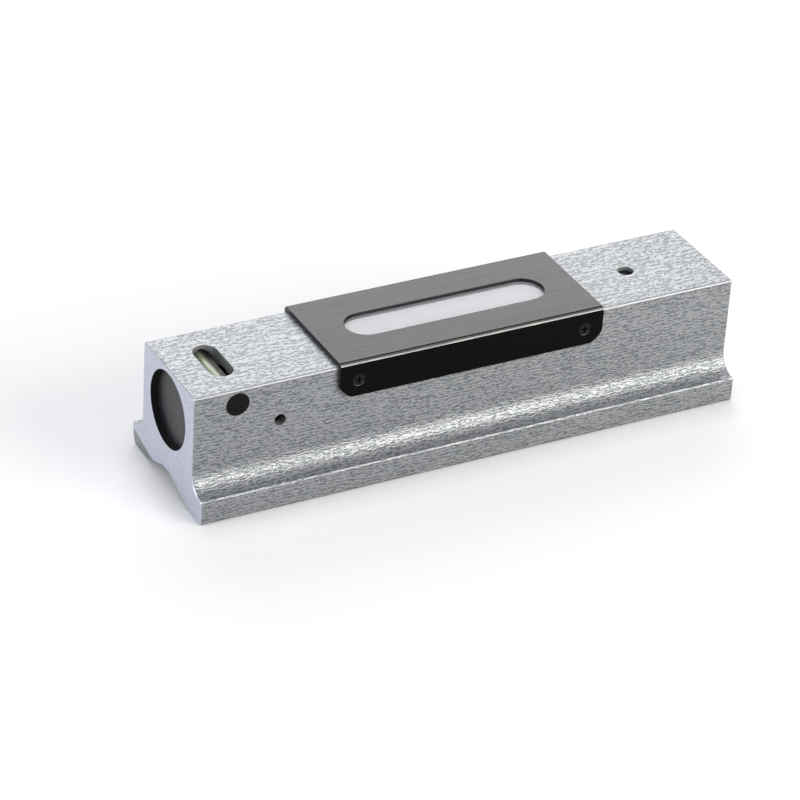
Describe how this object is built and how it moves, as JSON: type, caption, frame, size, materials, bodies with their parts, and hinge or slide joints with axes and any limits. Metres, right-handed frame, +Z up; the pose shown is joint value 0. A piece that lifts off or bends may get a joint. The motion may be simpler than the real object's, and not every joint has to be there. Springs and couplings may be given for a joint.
{
  "type": "precision machinist level",
  "caption": "Cast iron bar level with a flat and V-grooved base, an adjustable tubular vial under a windowed cover, and a small cross vial in the top.",
  "frame": {"origin": "middle of the ground base, in the plane it rests on", "axes": "+X along the bar away from the cross vial, +Y across the bar to its rear side, +Z up"},
  "size_m": [0.2, 0.0534, 0.0448],
  "materials": {
    "painted_iron": "silver-grey hammertone paint, base ground bare",
    "black_anodised": "brushed, black anodised",
    "blackened_steel": "black oxide",
    "clear_glass": "polished",
    "vial_spirit": "clear pale green liquid",
    "vapour_bubble": "clear",
    "black_plug": "black, smooth",
    "turned_brass": "turned",
    "dark_steel": "blackened",
    "spring_steel": "bright drawn wire",
    "white_plaster": "matt set plaster"
  },
  "bodies": {
    "level_body": {"body_casting": "painted_iron", "end_plug_left": "black_plug", "end_plug_right": "black_plug", "window_glass": "clear_glass", "cover_plate": "black_anodised", "cover_screw_1": "blackened_steel", "cover_screw_2": "blackened_steel", "cover_screw_3": "blackened_steel", "cover_screw_4": "blackened_steel", "pivot_screw_front": "blackened_steel", "pivot_screw_rear": "blackened_steel", "saddle_washer": "turned_brass", "adjusting_spring": "spring_steel", "cross_cradle": "white_plaster", "cross_plug_front": "black_plug", "cross_plug_rear": "black_plug", "cross_vial": "clear_glass", "cross_vial_cap": "clear_glass", "cross_vial_spirit": "vial_spirit"},
    "vial_carriage": {"vial_tube": "dark_steel", "pivot_block": "turned_brass", "nut_block": "turned_brass", "main_vial": "clear_glass", "main_vial_cap_left": "clear_glass", "main_vial_cap_right": "clear_glass", "vial_collar_left": "white_plaster", "vial_collar_right": "white_plaster", "main_vial_spirit": "vial_spirit"},
    "main_bubble": {"main_bubble": "vapour_bubble"},
    "adjusting_screw": {"adjusting_screw": "blackened_steel"},
    "cross_bubble": {"cross_bubble": "vapour_bubble"}
  },
  "joints": [
    {"name": "adjusting_screw_turn", "type": "hinge", "parent": "level_body", "child": "adjusting_screw", "pos_m": [0.0692, 0, 0.0376], "axis": [0, 0, 1], "range_deg": [-725, 725]},
    {"name": "vial_tilt", "type": "hinge", "parent": "level_body", "child": "vial_carriage", "pos_m": [-0.0692, 0, 0.0284], "axis": [0, 1, 0], "range_deg": [-0.413, 0.413], "deforming": ["adjusting_spring"]},
    {"name": "main_bubble_travel", "type": "slide", "parent": "vial_carriage", "child": "main_bubble", "axis": [1, 0, 0], "range_m": [-0.018, 0.018]},
    {"name": "cross_bubble_travel", "type": "slide", "parent": "level_body", "child": "cross_bubble", "axis": [0, 1, 0], "range_m": [-0.004, 0.004]}
  ],
  "couplings": [
    {"joint": "adjusting_screw_turn", "follows": "vial_tilt", "ratio": 1739.2}
  ]
}
